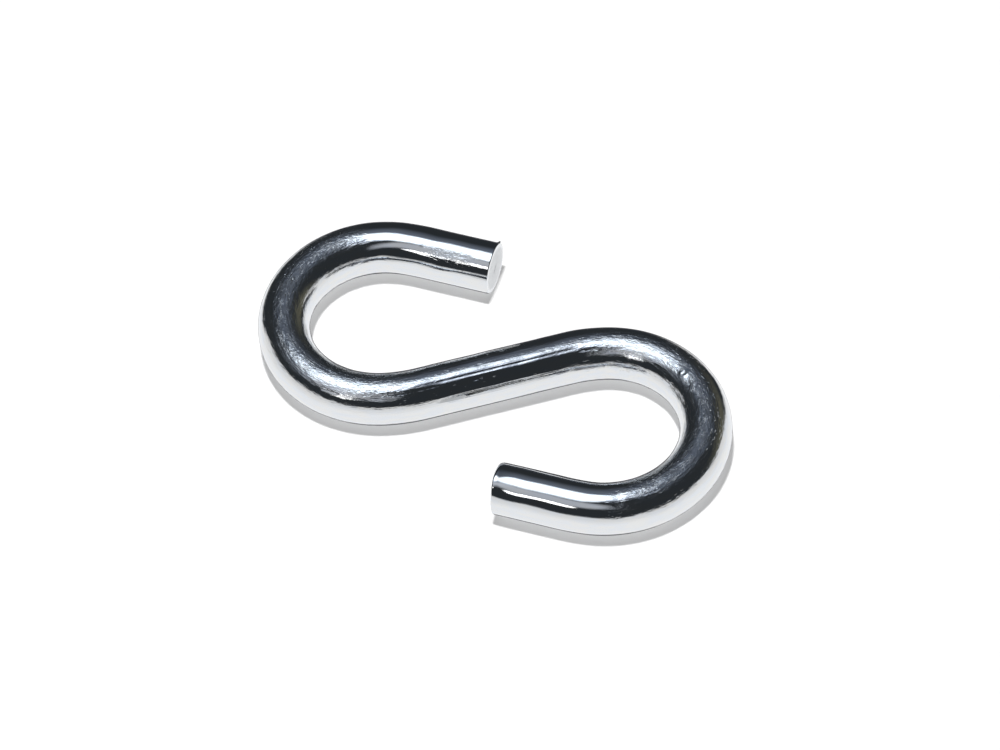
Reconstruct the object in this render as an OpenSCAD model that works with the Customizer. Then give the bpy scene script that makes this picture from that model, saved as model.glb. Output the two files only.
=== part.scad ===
// Safety chain hook: an open S-hook, cold-bent from one length of round steel bar.
// It lies flat, with its underside on Z = 0. The centres of its two main bends are on the X axis,
// and the middle of the shank is above the origin.

/* [Bar] */
// Diameter of the round bar (mm)
bar_d = 9.5; // [6:0.1:11]
// Diameter that the bar loses on its way into an easy bend, and again into a main bend (mm)
draw_down = 0.04; // [0.04:0.01:0.2]
// Width of the bevel round each cropped end (mm)
end_bevel = 0.3; // [0.1:0.1:1]

/* [Bends] */
// Radius of each main bend, to the bar's centreline (mm)
bend_r = 17.8; // [16:0.1:24]
// Angle that each main bend turns through (degrees)
bend_angle = 194; // [170:1:196]
// Radius of the easy bend between the shank and a main bend (mm)
lead_r = 28; // [24:1:60]
// Angle of the easy bend between the shank and a main bend (degrees)
lead_angle = 14; // [5:1:18]
// Radius of the easy bend between a main bend and its tip (mm)
runout_r = 40; // [24:1:60]
// Angle of the easy bend between a main bend and its tip (degrees)
runout_angle = 6; // [3:1:9]

/* [Straights] */
// Straight length in the middle of the shank (mm)
shank_straight = 27; // [20:1:60]
// Straight length at the tip that follows the bend on the +X side (mm)
tip_a = 12; // [6:0.5:14]
// Straight length at the tip that follows the bend on the -X side (mm)
tip_b = 13; // [6:0.5:14]

/* [Hidden] */
$fn = 64;
bar_r = bar_d / 2;
easy_d = bar_d - draw_down;
tight_d = easy_d - draw_down;

// How far each bend runs on past its two ends, inside or over its neighbours, so that they merge
run_on = 0.5;

// Centre of the +X side's main bend, for a shank that lies along X
bend_centre = [shank_straight / 2 + (lead_r - bend_r) * sin(lead_angle),
               -lead_r + (lead_r - bend_r) * cos(lead_angle)];
// Turn of the shank that brings both main bends' centres onto the X axis
shank_turn = -atan2(bend_centre[1], bend_centre[0]);

// Bar that starts along +X and turns clockwise through an angle. Children start at its far end.
module bend(radius, angle, thickness) {
    run_on_angle = run_on / radius * 180 / PI;
    translate([0, -radius, 0]) {
        rotate([0, 0, 90 - angle - run_on_angle])
            rotate_extrude(angle = angle + 2 * run_on_angle)
                translate([radius, 0]) circle(d = thickness);
        rotate([0, 0, -angle]) translate([0, radius, 0]) children();
    }
}

// Straight tip along +X, with a bevel round its cropped end face
module tip(length) {
    outline = [[0, 0], [bar_r, 0], [bar_r, length - end_bevel], [bar_r - end_bevel, length], [0, length]];
    rotate([0, 90, 0]) rotate_extrude() polygon(outline);
}

// From the end of the shank's straight, which runs along +X, round to one tip
module arm(tip_length) {
    translate([shank_straight / 2, 0, 0])
        bend(lead_r, lead_angle, easy_d)
            bend(bend_r, bend_angle, tight_d)
                bend(runout_r, runout_angle, easy_d)
                    tip(tip_length);
}

module s_hook() {
    color("silver")
        translate([0, 0, bar_r])
            rotate([0, 0, shank_turn]) {
                rotate([0, 90, 0]) cylinder(h = shank_straight, d = bar_d, center = true);
                arm(tip_a);
                rotate([0, 0, 180]) arm(tip_b);
            }
}

s_hook();
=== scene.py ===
"""Looks of the safety chain hook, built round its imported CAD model.

The hook is one bright-plated steel bar. Its mesh is swept along the same centreline as the CAD model's,
and adds what the CAD model leaves out: sections drawn flat by the bends, sheared ends, die lines and
the marks of tools. Lengths are in metres, angles in radians, unless a name says otherwise.

A place on the bar is (run, turn). The run is the distance along the centreline from the middle of the
shank, positive towards the tip on the +X side. The turn is the angle round the bar: 0 is the left side
as one travels towards +run, and 90 degrees is the top.
"""
import cmath
import math

import bpy
import numpy as np
from mathutils import Matrix, Vector


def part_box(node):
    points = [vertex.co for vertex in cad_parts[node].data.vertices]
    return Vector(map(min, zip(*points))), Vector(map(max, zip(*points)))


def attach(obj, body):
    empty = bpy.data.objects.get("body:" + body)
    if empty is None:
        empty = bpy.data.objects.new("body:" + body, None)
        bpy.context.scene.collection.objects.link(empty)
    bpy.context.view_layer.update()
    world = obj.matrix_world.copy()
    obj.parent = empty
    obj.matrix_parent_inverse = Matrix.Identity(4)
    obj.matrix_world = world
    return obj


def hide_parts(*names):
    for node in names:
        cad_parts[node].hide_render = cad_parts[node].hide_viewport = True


MM = 0.001
SEED = 7

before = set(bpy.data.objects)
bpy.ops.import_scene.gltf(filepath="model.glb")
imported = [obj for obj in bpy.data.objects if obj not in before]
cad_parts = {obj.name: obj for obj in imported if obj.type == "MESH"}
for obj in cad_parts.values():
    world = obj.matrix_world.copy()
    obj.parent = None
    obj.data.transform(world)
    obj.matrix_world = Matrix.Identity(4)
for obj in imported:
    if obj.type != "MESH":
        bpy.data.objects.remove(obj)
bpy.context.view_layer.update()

# ---------------------------------------------------------------- the bar's dimensions, as in the CAD model

BAR_LOW, BAR_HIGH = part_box("s_hook")
BAR_R = (BAR_HIGH.z - BAR_LOW.z) / 2
SHANK_STRAIGHT = 27 * MM
LEAD_R, LEAD_ANGLE = 28 * MM, math.radians(14)
BEND_R, BEND_ANGLE = 17.8 * MM, math.radians(194)
RUNOUT_R, RUNOUT_ANGLE = 40 * MM, math.radians(6)
TIP_A, TIP_B = 12 * MM, 13 * MM
SPARE = 2 * MM                         # how far the centreline runs on past the longer tip

# Stretches of one arm, from the middle of the shank outwards: (length, radius), or no radius if straight.
ARM = [
    (SHANK_STRAIGHT / 2, None),
    (LEAD_R * LEAD_ANGLE, LEAD_R),
    (BEND_R * BEND_ANGLE, BEND_R),
    (RUNOUT_R * RUNOUT_ANGLE, RUNOUT_R),
    (TIP_B + SPARE, None),
]
BEND_START = ARM[0][0] + ARM[1][0]
BEND_END = BEND_START + ARM[2][0]
END_A = BEND_END + ARM[3][0] + TIP_A
END_B_PROUD = 0.3 * MM                 # how far this end's sheared face stands out beyond the CAD model's
END_B = -(BEND_END + ARM[3][0] + TIP_B + END_B_PROUD)

# The shank's heading puts the centres of both main bends on the X axis.
BEND_CENTRE = complex(
    SHANK_STRAIGHT / 2 + (LEAD_R - BEND_R) * math.sin(LEAD_ANGLE),
    -LEAD_R + (LEAD_R - BEND_R) * math.cos(LEAD_ANGLE),
)
SHANK_TURN = -cmath.phase(BEND_CENTRE)

# ---------------------------------------------------------------- the camera, as in the photograph

CAMERA_HEADING = math.radians(35.98)   # of the camera's right-hand side, from +X
CAMERA_DROP = math.radians(50.92)      # how far it looks down
CAMERA_ROLL = math.radians(-3.78)
CAMERA_DISTANCE = 1.3267
CAMERA_LENS_MM = 265.5
CAMERA_SHIFT_RIGHT = 1.15 * MM         # the hook's middle lies this far left of the picture's centre
CAMERA_SHIFT_UP = 0.24 * MM


def link(obj):
    bpy.context.scene.collection.objects.link(obj)
    return obj


def make_camera():
    across = Vector((math.cos(CAMERA_HEADING), math.sin(CAMERA_HEADING), 0))
    level = Vector((-across.y, across.x, 0))
    forward = level * math.cos(CAMERA_DROP) + Vector((0, 0, -math.sin(CAMERA_DROP)))
    upward = across.cross(forward)
    right = across * math.cos(CAMERA_ROLL) + upward * math.sin(CAMERA_ROLL)
    up = upward * math.cos(CAMERA_ROLL) - across * math.sin(CAMERA_ROLL)
    data = bpy.data.cameras.new("camera")
    data.lens = CAMERA_LENS_MM
    data.sensor_width = 36
    data.clip_start = 0.05
    data.clip_end = 20
    camera = link(bpy.data.objects.new("camera", data))
    turned = Matrix((right, up, -forward)).transposed().to_4x4()
    aim = Vector((0, 0, BAR_R))
    place = aim - forward * CAMERA_DISTANCE + right * CAMERA_SHIFT_RIGHT + up * CAMERA_SHIFT_UP
    camera.matrix_world = Matrix.Translation(place) @ turned
    bpy.context.scene.camera = camera


# ---------------------------------------------------------------- the bar's centreline


def arm_point(distance):
    """Place, as a complex number, and heading of a centreline that leaves the origin along +X."""
    place, heading = 0j, 0.0
    for length, radius in ARM:
        step = min(distance, length)
        if radius is None:
            place += step * cmath.exp(1j * heading)
        else:
            hub = place - 1j * radius * cmath.exp(1j * heading)
            heading -= step / radius
            place = hub + 1j * radius * cmath.exp(1j * heading)
        distance -= step
        if distance <= 0:
            break
    return place, heading


def centreline(run):
    """Place and heading of the hook's centreline at this run."""
    place, heading = arm_point(abs(run))
    if run < 0:
        place = -place
    return place * cmath.exp(1j * SHANK_TURN), heading + SHANK_TURN


def ease(x):
    """0 below 0, 1 above 1, and smooth between them. Takes arrays too."""
    x = np.clip(x, 0, 1)
    return x * x * (3 - 2 * x)


def bell(x):
    return np.exp(-x * x)


# ---------------------------------------------------------------- the bar's surface

ROUND_COUNT = 160                      # vertices round the bar
PLAIN_STEP = 0.42 * MM                 # between rings, and closer where the marks are
MARKED_STEP = 0.2 * MM
MARKED_FROM, MARKED_TO = 24 * MM, 44 * MM
END_ZONE = 2.6 * MM                    # before each end, where the rings follow the edge's rounding
ZONE_RINGS, EDGE_RINGS, FACE_RINGS = 8, 12, 12

# Long faint lines drawn by the die, nicks and scratches: the run and turn of one end, then of the other,
# in mm and degrees, and the half width and the depth, in mm.
GROOVES = [
    (-15, 113, 18, 111, 0.22, 0.050),
    (-24, 122, -9, 120, 0.20, 0.060),
    (-30.5, 129, -27, 128, 0.22, 0.075),
    (-22.5, 128, -20.5, 128, 0.22, 0.075),
    (-17.8, 138.5, -16.2, 138.5, 0.24, 0.100),
    (-12.7, 137, -11.3, 137, 0.24, 0.100),
    (-9.0, 127, -8.0, 127, 0.24, 0.120),
    (-6.6, 138, -5.2, 138.5, 0.24, 0.100),
    (-4.7, 126, -2.7, 125.5, 0.24, 0.120),
    (-2.2, 129, -0.4, 128, 0.24, 0.120),
    (-3.9, 134, -2.3, 133, 0.24, 0.120),
    (15.5, 119, 19.5, 117, 0.20, 0.070),
    (-14, 128, -2, 127, 0.16, 0.012),
    (-7, 136, 11, 133, 0.18, 0.010),
    (-53.8, 66, -47.6, 50, 0.20, 0.026),
    (31.2, 130, 36.3, 126, 0.17, 0.034),
    (31.6, 133, 37.2, 130.5, 0.17, 0.030),
    (32.3, 130, 37.8, 135, 0.18, 0.030),
    (31.0, 137, 37.0, 139, 0.18, 0.030),
    (29.0, 141, 33.0, 138, 0.20, 0.024),
    (34.8, 85, 37.2, 100, 0.18, 0.034),
    (39.8, 106, 42.2, 109, 0.22, 0.024),
    (-8.0, 92, -7.6, 84, 0.18, 0.030),
    (-2.9, 99, -2.4, 90, 0.18, 0.030),
    (9.3, 101, 10.0, 94, 0.18, 0.030),
]
GROOVE_FADE = 0.2                      # share of its length over which a groove sets in, and dies out

# Shallow hollows left by the bending tools, and a ridge, whose depth is negative: run, turn, half length
# along and round the bar, and depth, in mm and degrees.
DENTS = [
    (75.0, 84, 0.8, 2.2, 0.045),
    (72.6, 60, 1.3, 0.7, 0.040),
    (70.0, 52, 0.9, 0.6, 0.032),
    (-91.0, 50, 3.0, 0.5, -0.070),
    (-85.2, 62, 0.5, 0.9, 0.040),
    (-88.0, 57, 1.4, 0.8, 0.030),
    (-92.5, 60, 1.8, 0.7, 0.022),
    (-73.5, 70, 1.2, 0.7, 0.025),
    (-19.5, 131, 1.6, 0.5, 0.020),
    (-1.5, 134, 1.8, 0.6, 0.022),
    (17.0, 126, 1.5, 0.5, 0.020),
    (23.0, 121, 1.2, 0.6, 0.025),
    (30.7, 137, 0.9, 0.5, 0.030),
    (47.5, 92, 2.2, 0.9, 0.012),
    (52.0, 99, 1.8, 0.8, 0.012),
]

# A small raised ring with a hollow middle: its place, its radius, its line's half width and its height.
RING_RUN, RING_TURN, RING_SIZE, RING_WIDTH, RING_HEIGHT = 38.6, 103, 0.66, 0.20, 0.055
RING_HOLLOW, RING_HOLLOW_SIZE = 0.030, 0.6 * RING_SIZE
RING_GAP_TOWARDS = math.radians(205)   # the way to the gap in the ring, from the ring's middle
RING_GAP_COSINE, RING_GAP_FADE = 0.9, 0.5    # the gap's half width as a cosine, and the fade beside it

WAVE_COUNT = 18                        # gentle unevenness of the drawn and bent bar
WAVE_SLOPE = 0.0045
WAVE_LOBES = (2, 9)                    # round the bar, from the first number to below the second
WAVE_LENGTH = (5, 22)                  # along the bar, in mm
DRAWN_FLAT = 0.012                     # share of the radius that a bend's outer side loses
GROUND_SINE = -0.9                     # of the turn, below which the underside stays flat on the ground

# Each sheared end: how far its edge is rounded where the blade came in and where it left, in mm, and the
# turn of the first, in degrees.
EDGE_A, EDGE_B = (1.0, 0.30, 155), (0.5, 0.22, 300)
EDGE_ACROSS = 0.75                     # the rounding's reach over the face, as a share of that along the bar
FACE_ROUGH, FACE_TILT = 0.006, 0.10    # a sheared face's roughness and swell, in mm
SHEARED_FROM, SHEARED_FADE = 0.1, 0.1  # where the face looks sheared, as shares of the radius from the rim
# How far, over what length and at what turn the blade drew end A's surface in.
ROLLED_A, ROLLED_LENGTH, ROLLED_TURN = 0.34, 4.0, math.radians(60)
# How far end A's cut leans out, and at what turn it leans out furthest.
LEAN_A, LEAN_A_TURN = 0.85, math.radians(141)
# The burr that the blade left on end B.
BURR_TURN, BURR_HEIGHT, BURR_WIDTH, BURR_LENGTH = 139, 0.42, 0.24, 0.3

WORN_TO, WORN_FADE = 73 * MM, 5 * MM   # the mottling goes from the shank to here, and fades over this
WORN_TURN, WORN_HALF_TURN = math.radians(92), math.radians(34)    # and mostly along the bar's top
WORN_SIDES = 0.3                       # how mottled it is away from the top
WORN_FACE = 0.4                        # how mottled it is on the end faces
WORN_RING, RING_CLEAR = 0.2, 1.6       # share of it left at the ring, and how far round that, in mm
STREAKED_TO = 18 * MM                  # it is streaked from the shank's middle to about here
STREAKED_INSTEAD = 0.80                # share of the mottling that the streaks take the place of
# Mottled patches of plating: run, turn, half length along and round the bar, in mm and degrees.
PATCHES = [(-90.5, 54, 4.5, 1.6), (73.5, 68, 3.0, 3.0)]
WORN_PATCH = 0.6                       # how mottled they are


def bent_amount(run):
    """1 in the main bends, 0 in the straights."""
    margin = 5 * MM
    away = np.abs(run)
    begun = ease((away - BEND_START + margin) / (2 * margin))
    return begun * ease((BEND_END + margin - away) / (2 * margin))


def beside(run, turn, mark_run, mark_turn):
    """How far each point is from a mark, along and round the bar, in mm."""
    round_by = (turn - math.radians(mark_turn) + math.pi) % (2 * math.pi) - math.pi
    return run / MM - mark_run, round_by * BAR_R / MM


def groove(run, turn, run_a, turn_a, run_b, turn_b, width, depth):
    """Height of the surface in a groove, in mm: 0 beside it and below 0 in it."""
    along, around = beside(run, turn, run_a, turn_a)
    reach = np.array([run_b - run_a, math.radians(turn_b - turn_a) * BAR_R / MM])
    length = np.hypot(*reach)
    forward = (along * reach[0] + around * reach[1]) / length
    sideways = (along * reach[1] - around * reach[0]) / length
    fading = GROOVE_FADE * length
    fade = ease(forward / fading) * ease((length - forward) / fading)
    return -depth * fade * bell(sideways / width)


def ring_mark(run, turn):
    """Height of the surface at the raised ring and its hollow middle, in mm."""
    along, around = beside(run, turn, RING_RUN, RING_TURN)
    away = np.hypot(along, around)
    line = bell((away - RING_SIZE) / RING_WIDTH)
    facing = np.cos(np.arctan2(around, along) - RING_GAP_TOWARDS)
    hollow = RING_HOLLOW * bell(away / RING_HOLLOW_SIZE)
    return RING_HEIGHT * line * ease((RING_GAP_COSINE - facing) / RING_GAP_FADE) - hollow


def waves(run, turn):
    """A sum of long waves along and round the bar, of the same steepness each."""
    chance = np.random.default_rng(SEED)
    total = np.zeros_like(run)
    for _ in range(WAVE_COUNT):
        lobes = chance.integers(*WAVE_LOBES)
        length = chance.uniform(*WAVE_LENGTH) * MM
        phase = chance.uniform(0, 2 * math.pi)
        steepest = math.hypot(lobes / BAR_R, 2 * math.pi / length)
        total += np.sin(lobes * turn + 2 * math.pi * run / length + phase) * WAVE_SLOPE / steepest
    return total


def relief(run, turn):
    """How far the surface stands off the plain round bar, in metres."""
    marks = ring_mark(run, turn)
    for mark in GROOVES:
        marks += groove(run, turn, *mark)
    for mark_run, mark_turn, half_along, half_round, depth in DENTS:
        along, around = beside(run, turn, mark_run, mark_turn)
        marks -= depth * bell(along / half_along) * bell(around / half_round)
    along, around = beside(run, turn, END_B / MM + BURR_LENGTH / 2, BURR_TURN)
    marks += BURR_HEIGHT * bell(along / BURR_LENGTH) * bell(around / BURR_WIDTH)
    outer = np.clip(np.where(run > 0, np.cos(turn), -np.cos(turn)), 0, 1)
    drawn = -DRAWN_FLAT * BAR_R * bent_amount(run) * outer**2
    rolled = np.clip(1 - (END_A - run) / MM / ROLLED_LENGTH, 0, 1) ** 2
    marks -= ROLLED_A * rolled * ease(np.cos(turn - ROLLED_TURN))
    lift = ease(np.sin(turn) - GROUND_SINE)
    return marks * MM + drawn + waves(run, turn) * lift


def streaked_amount(run):
    """How streaked the plating is along the bar, from 0 to 1."""
    return bell((run / STREAKED_TO) ** 2)


def worn_amount(run, turn):
    """How mottled the plating is, from 0 to 1."""
    worn = ease((WORN_TO - np.abs(run)) / WORN_FADE + 0.5) * (1 - STREAKED_INSTEAD * streaked_amount(run))
    worn *= WORN_SIDES + (1 - WORN_SIDES) * bell(((turn - WORN_TURN) / WORN_HALF_TURN) ** 2)
    from_ring = np.hypot(*beside(run, turn, RING_RUN, RING_TURN))
    worn *= ease(from_ring / RING_CLEAR) * (1 - WORN_RING) + WORN_RING
    for mark_run, mark_turn, half_along, half_round in PATCHES:
        along, around = beside(run, turn, mark_run, mark_turn)
        patch = WORN_PATCH * bell((along / half_along) ** 2) * bell((around / half_round) ** 2)
        worn = np.maximum(worn, patch)
    return worn


def stations():
    """The runs of the rings between the two end zones."""
    runs = [END_B + END_ZONE]
    while runs[-1] < END_A - END_ZONE:
        marked = MARKED_FROM < runs[-1] < MARKED_TO
        runs.append(runs[-1] + (MARKED_STEP if marked else PLAIN_STEP))
    runs[-1] = END_A - END_ZONE
    return np.array(runs)


def end_rings(edge, seed):
    """Rings from an end zone's start, over the rounded edge, to the face's middle.

    Gives each ring's depth below the end and the radius that it has lost, vertex by vertex.
    """
    entry, leaving, entry_turn = edge
    turns = np.arange(ROUND_COUNT) * 2 * math.pi / ROUND_COUNT
    entry_side = np.cos(turns - math.radians(entry_turn))
    size = (leaving + (entry - leaving) * ease(entry_side)) * MM
    depths, losses = [], []
    for k in range(1, ZONE_RINGS + 1):
        depths.append(END_ZONE + (size - END_ZONE) * k / ZONE_RINGS)
        losses.append(np.zeros(ROUND_COUNT))
    for k in range(1, EDGE_RINGS + 1):
        sweep = k / EDGE_RINGS * math.pi / 2
        depths.append(size * (1 - math.sin(sweep)))
        losses.append(size * EDGE_ACROSS * (1 - math.cos(sweep)))
    rim_loss = losses[-1]
    chance = np.random.default_rng(seed)
    for k in range(1, FACE_RINGS + 1):
        left = 1 - k / (FACE_RINGS + 0.5)
        rough = chance.normal(0, FACE_ROUGH, ROUND_COUNT)
        rough = (rough + np.roll(rough, 1) + np.roll(rough, -1)) * MM
        tilt = FACE_TILT * MM * entry_side * left * (1 - left)
        depths.append(tilt + rough)
        losses.append(BAR_R - (BAR_R - rim_loss) * left)
    return np.array(depths), np.array(losses)


def surface_grid():
    """Run, turn and lost radius of every vertex, ring by ring, from one face's middle to the other's."""
    middle = stations()
    turns = np.arange(ROUND_COUNT) * 2 * math.pi / ROUND_COUNT
    depth_a, loss_a = end_rings(EDGE_A, SEED + 1)
    depth_b, loss_b = end_rings(EDGE_B, SEED + 2)
    flat = np.repeat(middle[:, None], ROUND_COUNT, 1)
    # End A's cut leans: its rings move out on one side, and across the face in proportion.
    across = np.cos(turns - LEAN_A_TURN) * (1 - loss_a / BAR_R)
    nearness = ease(1 - depth_a / END_ZONE)
    leaning = LEAN_A * MM / 2 * (1 + across) * nearness
    run = np.concatenate([(END_B + depth_b)[::-1], flat, END_A - depth_a + leaning])
    loss = np.concatenate([loss_b[::-1], np.zeros_like(flat), loss_a])
    turn = np.repeat(turns[None, :], len(run), 0)
    return run, turn, loss


def make_bar():
    """The hook's mesh. Its shader reads where each vertex lies on the bar, and how marked it is there."""
    run, turn, loss = surface_grid()
    # The relief fades out on the end faces, where the radius shrinks to nothing.
    radius = (BAR_R - loss) + relief(run, turn) * (1 - loss / BAR_R)
    path = [centreline(r) for r in run.ravel()]
    place = np.array([[p.real, p.imag, BAR_R] for p, _ in path])
    side = np.array([[-math.sin(h), math.cos(h), 0] for _, h in path])
    sideways = (radius * np.cos(turn)).ravel()
    upwards = (radius * np.sin(turn)).ravel()
    verts = place + sideways[:, None] * side + upwards[:, None] * np.array([0, 0, 1])
    straight = np.stack([run.ravel(), sideways, upwards], -1)
    index = np.arange(run.size).reshape(run.shape)
    next_round = np.roll(index, -1, axis=1)
    quads = np.stack([index[:-1], index[1:], next_round[1:], next_round[:-1]], -1).reshape(-1, 4)
    faces = quads.tolist() + [index[0].tolist(), index[-1][::-1].tolist()]
    mesh = bpy.data.meshes.new("plated_hook")
    mesh.from_pydata(verts.tolist(), [], faces)
    layer = mesh.attributes.new("straight", "FLOAT_VECTOR", "POINT")
    layer.data.foreach_set("vector", (straight / MM).astype(np.float32).ravel())
    sheared = ease((loss / BAR_R - SHEARED_FROM) / SHEARED_FADE)
    worn = np.maximum(worn_amount(run, turn), WORN_FACE * sheared)
    for name, amount in (("worn", worn), ("streaked", streaked_amount(run)), ("sheared", sheared)):
        layer = mesh.attributes.new(name, "FLOAT", "POINT")
        layer.data.foreach_set("value", amount.astype(np.float32).ravel())
    mesh.shade_smooth()
    return link(bpy.data.objects.new("plated_hook", mesh))


# ---------------------------------------------------------------- node helpers


def node(tree, kind, *inputs, **settings):
    """A new node. Each input is a socket to link, a value to set, or None to leave."""
    made = tree.nodes.new(kind)
    for name, value in settings.items():
        setattr(made, name, value)
    for socket, value in zip(made.inputs, inputs):
        if isinstance(value, bpy.types.NodeSocket):
            tree.links.new(value, socket)
        elif value is not None:
            socket.default_value = value
    return made


def maths(tree, operation, *inputs):
    return node(tree, "ShaderNodeMath", *inputs, operation=operation).outputs[0]


def vector_maths(tree, operation, *inputs):
    made = node(tree, "ShaderNodeVectorMath", *inputs, operation=operation)
    return made.outputs["Value" if operation in ("DOT_PRODUCT", "LENGTH") else "Vector"]


def remap(tree, value, low, high, out_low=0.0, out_high=1.0):
    """value from low..high to out_low..out_high, clamped, with a smooth start and stop."""
    made = node(
        tree, "ShaderNodeMapRange", value, low, high, out_low, out_high, interpolation_type="SMOOTHSTEP"
    )
    return made.outputs[0]


def blend(tree, factor, first, second):
    made = node(tree, "ShaderNodeMix", data_type="RGBA")
    for name, value in (("Factor_Float", factor), ("A_Color", first), ("B_Color", second)):
        socket = next(s for s in made.inputs if s.identifier == name)
        if isinstance(value, bpy.types.NodeSocket):
            tree.links.new(value, socket)
        else:
            socket.default_value = value
    return next(s for s in made.outputs if s.identifier == "Result_Color")


# ---------------------------------------------------------------- the plating

# The plating's patterns: features per mm round the bar, how they are scaled along it, and heights in mm.
MOTTLE_PER_MM, MOTTLE_STRETCH, MOTTLE_LEAST, MOTTLE_MORE = 2.0, (0.32, 1, 1), 0.006, 0.110
FLECK_PER_MM, FLECK_HEIGHT, CLUSTER_PER_MM = 3.0, 0.045, 0.3
STREAK_PER_MM, STREAK_STRETCH, STREAK_LEAST, STREAK_MORE = 2.6, (0.03, 1, 1), 0.004, 0.030
ROUGH_DETAIL = (3, 0.6)                # octaves of the mottling and the haze, and each next one's share
# The values of a pattern's noise between which it grows from nothing to its full amount.
FLECK_SPAN, CLUSTER_SPAN, TINT_SPAN, HAZE_SPAN = (0.60, 0.74), (0.47, 0.62), (0.35, 0.65), (0.38, 0.66)
# The plating's roughness where it is clean, what it gains where it is mottled, and its two tints.
CLEAN_HAZE, HAZE_LEAST, HAZE_MOST, HAZE_PER_MM = 0.05, 0.02, 0.24, 1.7
COOL, WARM, TINT_PER_MM = (0.715, 0.735, 0.765, 1), (0.745, 0.745, 0.74, 1), 1.1
DULL, DULL_HAZE = (0.66, 0.67, 0.68, 1), 0.25    # the end faces


def noise_of(tree, where, per_mm, detail=2.0, roughness=0.5):
    made = node(tree, "ShaderNodeTexNoise", where)
    made.inputs["Scale"].default_value = per_mm
    made.inputs["Detail"].default_value = detail
    made.inputs["Roughness"].default_value = roughness
    return made.outputs[0]


def scaled(tree, pattern, least, more, amount):
    """The pattern times a height that grows from least by more as amount grows from 0 to 1."""
    return maths(tree, "MULTIPLY", pattern, maths(tree, "MULTIPLY_ADD", amount, more, least))


def bright_zinc():
    """Mirror-bright plating, mottled where the bar was bent and streaked along the middle of the shank."""
    material = bpy.data.materials.new("bright_zinc")
    material.use_nodes = True
    tree = material.node_tree
    shader = tree.nodes["Principled BSDF"]
    shader.inputs["Metallic"].default_value = 1
    straight = node(tree, "ShaderNodeAttribute", attribute_name="straight").outputs["Vector"]
    worn = node(tree, "ShaderNodeAttribute", attribute_name="worn").outputs["Fac"]
    streaked = node(tree, "ShaderNodeAttribute", attribute_name="streaked").outputs["Fac"]
    sheared = node(tree, "ShaderNodeAttribute", attribute_name="sheared").outputs["Fac"]
    along = vector_maths(tree, "MULTIPLY", straight, MOTTLE_STRETCH)
    far_along = vector_maths(tree, "MULTIPLY", straight, STREAK_STRETCH)

    mottle = noise_of(tree, along, MOTTLE_PER_MM, *ROUGH_DETAIL)
    mottle = scaled(tree, mottle, MOTTLE_LEAST, MOTTLE_MORE, worn)
    flecks = remap(tree, noise_of(tree, along, FLECK_PER_MM, 1), *FLECK_SPAN)
    clusters = remap(tree, noise_of(tree, along, CLUSTER_PER_MM), *CLUSTER_SPAN)
    flecks = maths(tree, "MULTIPLY", flecks, maths(tree, "MULTIPLY", clusters, worn))
    flecks = maths(tree, "MULTIPLY", flecks, FLECK_HEIGHT)
    streaks = scaled(tree, noise_of(tree, far_along, STREAK_PER_MM), STREAK_LEAST, STREAK_MORE, streaked)
    bump = node(tree, "ShaderNodeBump")
    bump.inputs["Strength"].default_value = 1
    bump.inputs["Distance"].default_value = MM
    height = maths(tree, "ADD", maths(tree, "ADD", mottle, flecks), streaks)
    tree.links.new(height, bump.inputs["Height"])
    tree.links.new(bump.outputs["Normal"], shader.inputs["Normal"])

    tint = remap(tree, noise_of(tree, along, TINT_PER_MM, 3), *TINT_SPAN)
    plated = blend(tree, tint, COOL, WARM)
    tree.links.new(blend(tree, sheared, plated, DULL), shader.inputs["Base Color"])
    haze = noise_of(tree, along, HAZE_PER_MM, *ROUGH_DETAIL)
    haze = remap(tree, haze, *HAZE_SPAN, HAZE_LEAST, HAZE_MOST)
    haze = maths(tree, "MULTIPLY_ADD", haze, worn, CLEAN_HAZE)
    haze = maths(tree, "MULTIPLY_ADD", sheared, DULL_HAZE, haze)
    tree.links.new(haze, shader.inputs["Roughness"])
    return material


# ---------------------------------------------------------------- the studio

# Directions in the studio are (azimuth, elevation) in degrees: azimuth 0 is towards the camera, and
# +90 is to its right. A soft panel is an ellipse: azimuth, elevation, half width, half height, and the
# share of its size over which it fades on either side of its edge.

# What the plating sees above the floor: soft panels, each with its strength and colour, in a dim room.
PANELS = [
    (-137, 74.5, 17, 16, 0.35, 2.0, (0.88, 0.97, 1.06)),
    (180, 66, 22, 24, 0.9, 0.15, (0.8, 0.93, 1.2)),
    (135, 86, 9, 9, 0.5, 0.55, (0.85, 0.93, 1.1)),
    (-45, 61, 26, 11, 0.5, 0.50, (0.93, 0.97, 1.05)),
    (-100, 58, 16, 16, 0.8, 0.18, (0.85, 0.93, 1.1)),
    (-43, 45, 7.5, 4.8, 0.2, 2.4, (1.0, 1.0, 1.0)),
    (120, 14, 24, 13, 0.9, 0.09, (1.0, 0.92, 0.55)),
]
ROOM = (0.026, 0.030, 0.034)

# The floor that the plating sees. Its edge lies lowest on the side away from the camera. A rise is the
# sine of an elevation, and a facing is the cosine of an azimuth.
FLOOR_EDGE_FACING, FLOOR_EDGE_RISE, FLOOR_EDGE_SOFT = (-0.85, -0.35), (-0.35, 0.16), 0.07
PAPER_RISE, PAPER_FAR, PAPER_NEAR = (0.1, -0.5), (0.85, 0.86, 0.87, 1), (1.06, 1.07, 1.08, 1)
# Painted shade in the floor that the plating sees: the dark gap under the bar, where the hook stands on it.
GAP_SHADE_PANEL, GAP_SHADE_COLOUR = (180, -44, 14, 39, 0.25), (0.09, 0.09, 0.10, 1)

# The staging that a camera sees. It is small, for cameras that see no further than about 5 m.
FLOOR_REACH, BACKDROP_RADIUS = 2.4, 3.5
# The suns: where the key light comes from, and each one's strength, and its size in degrees.
KEY_FROM, KEY_STRENGTH, KEY_ANGLE = (-90, 88), 2.45, 6
FILL_STRENGTH, FILL_ANGLE = 1.2, 10


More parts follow.
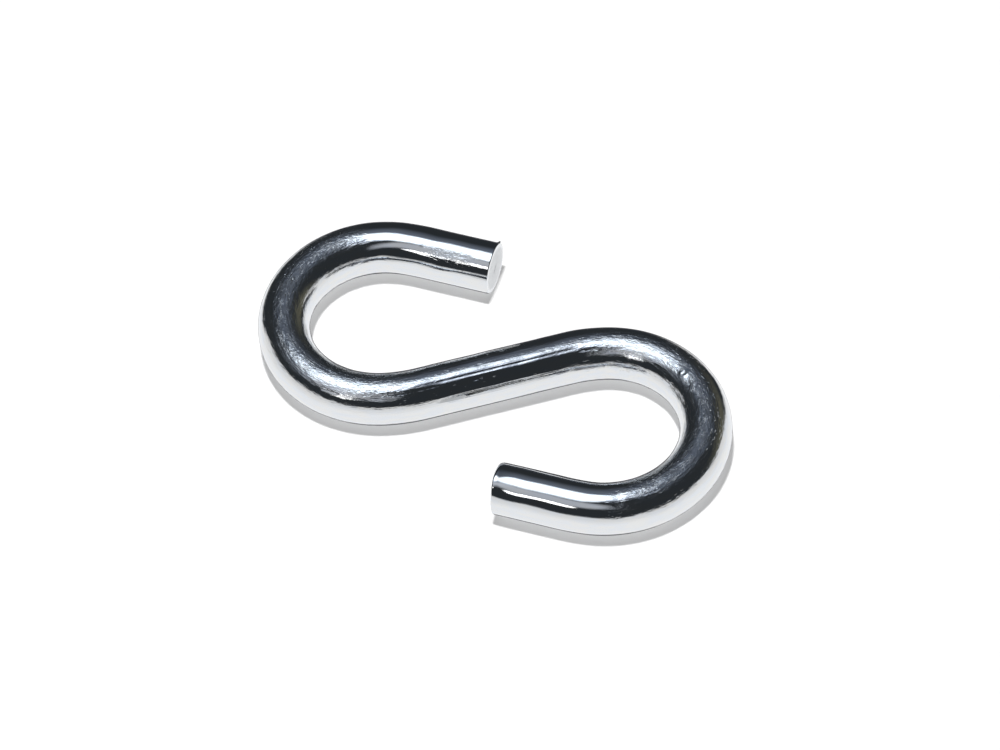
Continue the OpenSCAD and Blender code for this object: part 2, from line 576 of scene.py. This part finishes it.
def towards(azimuth, elevation):
    heading = CAMERA_HEADING - math.pi / 2 + math.radians(azimuth)
    rise = math.radians(elevation)
    level = math.cos(rise)
    return Vector((math.cos(heading) * level, math.sin(heading) * level, math.sin(rise)))


def soft_panel(tree, direction, azimuth, elevation, half_width, half_height, edge):
    """1 inside an ellipse round a direction, 0 outside it, over a soft edge."""
    centre = towards(azimuth, elevation)
    upward = towards(azimuth, elevation + 90)
    sideways = centre.cross(upward)
    ahead = vector_maths(tree, "DOT_PRODUCT", direction, centre)
    safe = maths(tree, "MAXIMUM", ahead, 0.001)
    x = vector_maths(tree, "DOT_PRODUCT", direction, sideways / math.tan(math.radians(half_width)))
    y = vector_maths(tree, "DOT_PRODUCT", direction, upward / math.tan(math.radians(half_height)))
    x = maths(tree, "DIVIDE", x, safe)
    y = maths(tree, "DIVIDE", y, safe)
    x_squared = maths(tree, "MULTIPLY", x, x)
    y_squared = maths(tree, "MULTIPLY", y, y)
    out = maths(tree, "SQRT", maths(tree, "ADD", x_squared, y_squared))
    return remap(tree, out, 1 + edge, 1 - edge)


def studio_world():
    """What the plating reflects, and nothing else sees: a dim room, soft panels, and the pale floor."""
    world = bpy.data.worlds.new("studio")
    bpy.context.scene.world = world
    world.use_nodes = True
    tree = world.node_tree
    background = tree.nodes["Background"]
    direction = node(tree, "ShaderNodeTexCoord").outputs["Generated"]
    total = node(tree, "ShaderNodeVectorMath", ROOM, (0, 0, 0), operation="ADD").outputs[0]
    for *panel, strength, tint in PANELS:
        level = soft_panel(tree, direction, *panel)
        light = node(tree, "ShaderNodeVectorMath", [c * strength for c in tint], operation="SCALE")
        tree.links.new(level, light.inputs["Scale"])
        total = vector_maths(tree, "ADD", total, light.outputs[0])
    rise = vector_maths(tree, "DOT_PRODUCT", direction, (0, 0, 1))
    near = vector_maths(tree, "DOT_PRODUCT", direction, towards(0, 0))
    # A little over 1, so that looking straight up or down doesn't divide by zero below.
    flat = maths(tree, "SQRT", maths(tree, "SUBTRACT", 1.0001, maths(tree, "MULTIPLY", rise, rise)))
    edge_rise = remap(tree, maths(tree, "DIVIDE", near, flat), *FLOOR_EDGE_FACING, *FLOOR_EDGE_RISE)
    above = maths(tree, "SUBTRACT", rise, edge_rise)
    on_floor = remap(tree, above, FLOOR_EDGE_SOFT, -FLOOR_EDGE_SOFT)
    paper = blend(tree, remap(tree, rise, *PAPER_RISE), PAPER_FAR, PAPER_NEAR)
    # Painted shade: the dark gap under the bar, in the floor that the plating reflects.
    gap_shade = soft_panel(tree, direction, *GAP_SHADE_PANEL)
    paper = blend(tree, gap_shade, paper, GAP_SHADE_COLOUR)
    tree.links.new(blend(tree, on_floor, total, paper), background.inputs["Color"])
    world.cycles_visibility.camera = False
    world.cycles_visibility.diffuse = False


def plain(name, colour, glow=0.0):
    material = bpy.data.materials.new(name)
    material.use_nodes = True
    shader = material.node_tree.nodes["Principled BSDF"]
    shader.inputs["Base Color"].default_value = colour
    shader.inputs["Roughness"].default_value = 1
    shader.inputs["Specular IOR Level"].default_value = 0
    material.cycles.emission_sampling = "NONE"
    if glow:
        shader.inputs["Emission Color"].default_value = colour
        shader.inputs["Emission Strength"].default_value = glow
    return material


def make_floor():
    mesh = bpy.data.meshes.new("floor")
    corners = [(x * FLOOR_REACH, y * FLOOR_REACH, 0) for x, y in ((-1, -1), (1, -1), (1, 1), (-1, 1))]
    mesh.from_pydata(corners, [], [(0, 1, 2, 3)])
    floor = link(bpy.data.objects.new("floor", mesh))
    mesh.materials.append(plain("white_paper", (0.9, 0.9, 0.9, 1)))
    floor.visible_glossy = False


def make_backdrop():
    bpy.ops.mesh.primitive_uv_sphere_add(segments=48, ring_count=24, radius=BACKDROP_RADIUS)
    dome = bpy.context.object
    dome.name = "backdrop"
    dome.data.materials.append(plain("backdrop", (1, 1, 1, 1), glow=1.0))
    dome.visible_glossy = False
    dome.visible_diffuse = False
    dome.visible_shadow = False


def sun(name, direction, strength, angle, shadow):
    data = bpy.data.lights.new(name, "SUN")
    data.energy = strength
    data.angle = math.radians(angle)
    data.use_shadow = shadow
    data.cycles.max_bounces = 0
    lamp = link(bpy.data.objects.new(name, data))
    lamp.rotation_mode = "QUATERNION"
    lamp.rotation_quaternion = direction.to_track_quat("Z", "Y")
    lamp.visible_glossy = False


def make_studio():
    studio_world()
    make_floor()
    make_backdrop()
    sun("key", towards(*KEY_FROM), KEY_STRENGTH, KEY_ANGLE, shadow=True)
    sun("fill", Vector((0, 0, 1)), FILL_STRENGTH, FILL_ANGLE, shadow=False)
    bpy.context.scene.view_settings.view_transform = "Standard"
    bpy.context.scene.view_settings.look = "None"


# ---------------------------------------------------------------- the whole scene

make_camera()
hook = make_bar()
hook.data.materials.append(bright_zinc())
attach(hook, "root")
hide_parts("s_hook")
make_studio()
